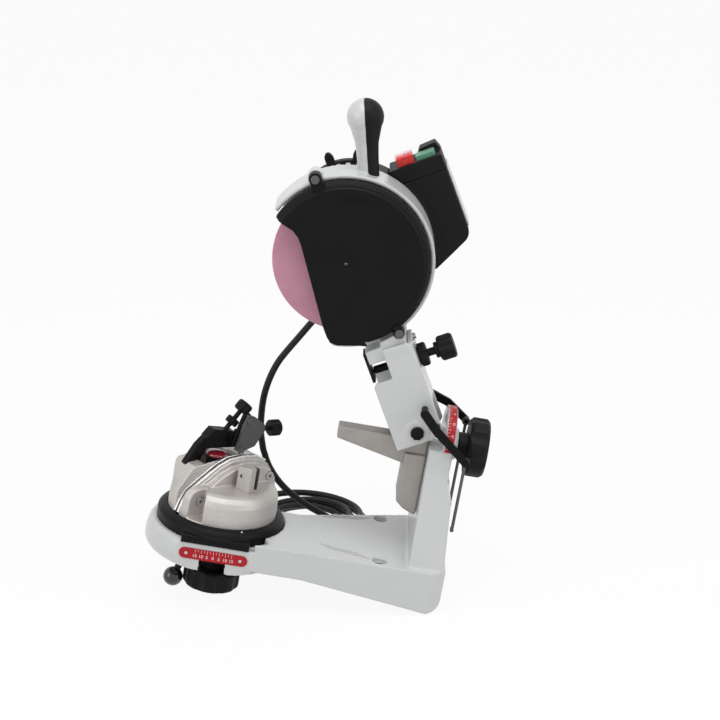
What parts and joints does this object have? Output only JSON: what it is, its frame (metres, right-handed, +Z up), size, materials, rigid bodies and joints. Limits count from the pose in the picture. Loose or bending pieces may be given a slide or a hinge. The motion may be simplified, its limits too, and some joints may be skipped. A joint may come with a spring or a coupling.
{
  "type": "electric chainsaw sharpener",
  "caption": "Bench grinder for saw chain: swinging motor head with a thin pink wheel, tilting support and a rotary chain vise on a light grey cast base.",
  "frame": {"origin": "on the table under the middle of the grinder's outline, its mains lead, coil and plug left out", "axes": "+Z up from the table; +X from the vise towards the column and tilt knob; +Y from the wheel towards the motor's far end. The grinder stands unbolted, so its tray leans by 9.7 degrees, as pictured."},
  "size_m": [0.3501, 0.2935, 0.5059],
  "materials": {
    "light_grey_paint": "gloss, smooth",
    "red_scale": "printed white marks",
    "bright_steel": "machined",
    "dark_steel": "dark, rough",
    "black_oxide": "satin black",
    "raw_aluminium": "blasted casting",
    "ribbed_aluminium": "silver",
    "black_plastic": "fine grain",
    "ball_plastic": "polished",
    "red_plastic": "polished",
    "red_button": "with a clear cover",
    "green_button": "moulded",
    "pink_abrasive": "coarse bonded grain",
    "winding": "laminations and windings",
    "lead_rubber": "smooth"
  },
  "bodies": {
    "base": {"base_casting": "light_grey_paint", "vise_scale": "red_scale", "scale_rivets": "bright_steel", "tilt_scale": "red_scale", "lead_free": "lead_rubber", "lead_coil": "lead_rubber", "mains_plug": "black_plastic"},
    "turntable": {"turntable_ring": "black_oxide", "vise_casting": "raw_aluminium", "fixed_rail": "bright_steel", "slotted_block": "raw_aluminium", "rail_screws": "dark_steel", "vise_stud": "bright_steel", "stop_bracket": "black_oxide", "pawl_pin": "bright_steel"},
    "jaw_rail": {"moving_rail": "bright_steel"},
    "clamp_lever": {"clamp_lever": "black_oxide", "lever_ball": "ball_plastic"},
    "lock_knob": {"lock_knob": "black_plastic"},
    "length_screw": {"length_screw": "black_plastic"},
    "length_nut": {"length_nut": "black_oxide"},
    "height_screw": {"height_screw": "black_plastic"},
    "pawl": {"pawl": "dark_steel"},
    "hold_down": {"hold_down_knob": "black_plastic", "hold_down_cap": "red_plastic"},
    "tilt_support": {"tilt_support": "raw_aluminium", "tilt_stud": "bright_steel"},
    "tilt_knob": {"tilt_knob": "black_plastic"},
    "head": {"pivot_pin": "black_oxide", "swing_arm": "light_grey_paint", "arm_bolts": "bright_steel", "front_strip": "black_plastic", "return_spring": "dark_steel", "near_lever": "black_oxide", "far_lever": "black_oxide", "wheel_guard": "black_oxide", "guard_screws": "dark_steel", "wheel_housing": "light_grey_paint", "handle_grip": "black_plastic", "bearings": "bright_steel", "stator": "winding", "motor_case": "ribbed_aluminium", "end_cover": "black_plastic", "motor_cover": "black_plastic", "switch_lid": "black_plastic", "switch_body": "black_plastic", "switch_plate": "bright_steel", "lead_gland": "lead_rubber"},
    "spindle": {"grinding_wheel": "pink_abrasive", "wheel_flanges": "bright_steel", "wheel_nut": "bright_steel", "motor_shaft": "bright_steel", "rotor": "dark_steel", "motor_fan": "black_plastic"},
    "depth_screw": {"depth_screw": "black_plastic"},
    "depth_nut": {"depth_nut": "black_plastic"},
    "near_rod": {"near_rod": "dark_steel"},
    "far_rod": {"far_rod": "dark_steel"},
    "stop_button": {"stop_button": "red_button"},
    "start_button": {"start_button": "green_button"}
  },
  "joints": [
    {"name": "vise_turn", "type": "hinge", "parent": "base", "child": "turntable", "pos_m": [-0.09728, -0.077, 0.08143], "axis": [0.1685, 0, 0.9857], "range_deg": [-15, 15]},
    {"name": "rail_close", "type": "slide", "parent": "turntable", "child": "jaw_rail", "axis": [-0.5932, 0.7986, 0.1014], "range_m": [0, 0.001]},
    {"name": "clamp_swing", "type": "hinge", "parent": "turntable", "child": "clamp_lever", "pos_m": [-0.10537, -0.077, 0.03412], "axis": [0.1685, 0, 0.9857], "range_deg": [0, 60]},
    {"name": "lock_knob_turn", "type": "hinge", "parent": "turntable", "child": "lock_knob", "pos_m": [-0.10874, -0.077, 0.01441], "axis": [0.1685, 0, 0.9857], "continuous": true},
    {"name": "length_screw_turn", "type": "hinge", "parent": "turntable", "child": "length_screw", "pos_m": [-0.09327, -0.05702, 0.16455], "axis": [0.6237, 0.3763, 0.6851], "continuous": true},
    {"name": "length_nut_turn", "type": "hinge", "parent": "turntable", "child": "length_nut", "pos_m": [-0.09327, -0.05702, 0.16455], "axis": [0.6237, 0.3763, 0.6851], "continuous": true},
    {"name": "height_screw_turn", "type": "hinge", "parent": "turntable", "child": "height_screw", "pos_m": [-0.06716, -0.04864, 0.1615], "axis": [0.7872, 0.6018, -0.1346], "continuous": true},
    {"name": "pawl_tip", "type": "hinge", "parent": "turntable", "child": "pawl", "pos_m": [-0.06832, -0.05909, 0.17489], "axis": [-0.5932, 0.7986, 0.1014], "range_deg": [0, 20]},
    {"name": "hold_down_turn", "type": "hinge", "parent": "turntable", "child": "hold_down", "pos_m": [-0.10402, -0.06603, 0.12824], "axis": [0.1685, 0, 0.9857], "continuous": true},
    {"name": "head_tilt", "type": "hinge", "parent": "base", "child": "tilt_support", "pos_m": [0.00194, -0.077, 0.18114], "axis": [0.9857, 0, -0.1685], "range_deg": [-10, 10], "deforming": ["lead_free"]},
    {"name": "tilt_knob_turn", "type": "hinge", "parent": "tilt_support", "child": "tilt_knob", "pos_m": [0.15965, -0.077, 0.15418], "axis": [0.9857, 0, -0.1685], "continuous": true},
    {"name": "head_swing", "type": "hinge", "parent": "tilt_support", "child": "head", "pos_m": [0.10093, -0.077, 0.17842], "axis": [0, -1, 0], "range_deg": [0, 48], "stiffness_Nm_per_rad": 7.5, "springref_deg": -57.3, "deforming": ["lead_free"]},
    {"name": "spindle_turn", "type": "hinge", "parent": "head", "child": "spindle", "pos_m": [0.03074, -0.077, 0.34958], "axis": [0, 1, 0], "continuous": true},
    {"name": "depth_screw_turn", "type": "hinge", "parent": "head", "child": "depth_screw", "pos_m": [0.11621, -0.077, 0.25582], "axis": [0.9438, 0, 0.3305], "continuous": true},
    {"name": "depth_nut_turn", "type": "hinge", "parent": "head", "child": "depth_nut", "pos_m": [0.10677, -0.077, 0.25251], "axis": [0.9438, 0, 0.3305], "continuous": true},
    {"name": "near_rod_swing", "type": "hinge", "parent": "head", "child": "near_rod", "pos_m": [0.14853, -0.113, 0.15202], "axis": [0, -1, 0], "range_deg": [-48, 0]},
    {"name": "far_rod_swing", "type": "hinge", "parent": "head", "child": "far_rod", "pos_m": [0.15148, -0.041, 0.16927], "axis": [0, -1, 0], "range_deg": [-36, 0]},
    {"name": "stop_press", "type": "slide", "parent": "head", "child": "stop_button", "axis": [0.3469, 0, -0.9379], "range_m": [0, 0.0025], "stiffness_N_per_m": 1500, "springref_m": -0.001},
    {"name": "start_press", "type": "slide", "parent": "head", "child": "start_button", "axis": [0.3469, 0, -0.9379], "range_m": [0, 0.0025], "stiffness_N_per_m": 1500, "springref_m": -0.001}
  ],
  "couplings": [
    {"joint": "rail_close", "follows": "clamp_swing", "m_per_rad": 0.00095},
    {"joint": "near_rod_swing", "follows": "head_swing", "ratio": -1},
    {"joint": "far_rod_swing", "follows": "head_swing", "ratio": -0.75}
  ]
}
